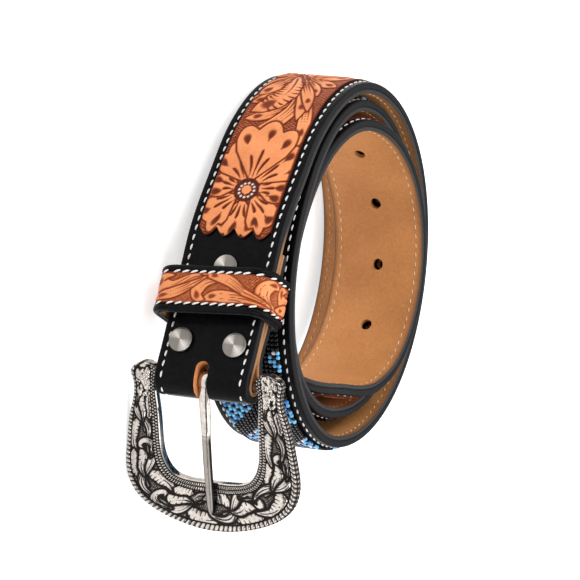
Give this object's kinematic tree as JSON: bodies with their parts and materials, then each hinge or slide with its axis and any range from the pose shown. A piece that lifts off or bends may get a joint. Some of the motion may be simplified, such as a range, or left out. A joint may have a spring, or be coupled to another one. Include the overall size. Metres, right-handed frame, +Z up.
{
  "type": "western tooled belt",
  "caption": "Coiled western leather belt with tooled floral overlays, beaded centre panel, keeper, screws and an engraved antique silver buckle.",
  "frame": {"origin": "middle of the bounding box's base, on the floor that the coil stands on", "axes": "+X along the billet from the keeper to the buckle, -Y out of the billet's face, +Z up, nearly along the coil's axis"},
  "size_m": [0.1864, 0.145, 0.0707],
  "materials": {
    "black_leather": "semi-gloss dyed leather",
    "tan_lining": "fine-grained matt leather",
    "tooled_leather": "hand-tooled, antiqued in the recesses",
    "beadwork": "glossy opaque seed beads",
    "antique_silver": "cast, plated antique silver with blackened recesses",
    "brushed_nickel": "brushed in circles"
  },
  "bodies": {
    "belt": {"strap": "black_leather", "lining": "tan_lining", "front_overlay": "tooled_leather", "tip_overlay": "tooled_leather", "bead_panel": "beadwork", "keeper_lining": "tan_lining", "keeper_band": "black_leather", "keeper_overlay": "tooled_leather", "screw_lower": "brushed_nickel", "screw_upper": "brushed_nickel", "screw_middle": "brushed_nickel"},
    "buckle_frame": {"buckle": "antique_silver"},
    "buckle_prong": {"prong": "antique_silver"}
  },
  "joints": [
    {"name": "buckle_swing", "type": "hinge", "parent": "belt", "child": "buckle_frame", "pos_m": [0.0452, -0.0565, 0.0327], "axis": [-0.0905, -0.0008, 0.9959], "range_deg": [-45, 30]},
    {"name": "prong_swing", "type": "hinge", "parent": "buckle_frame", "child": "buckle_prong", "pos_m": [0.0452, -0.0565, 0.0327], "axis": [-0.0905, -0.0008, 0.9959], "range_deg": [-45, 0]}
  ]
}
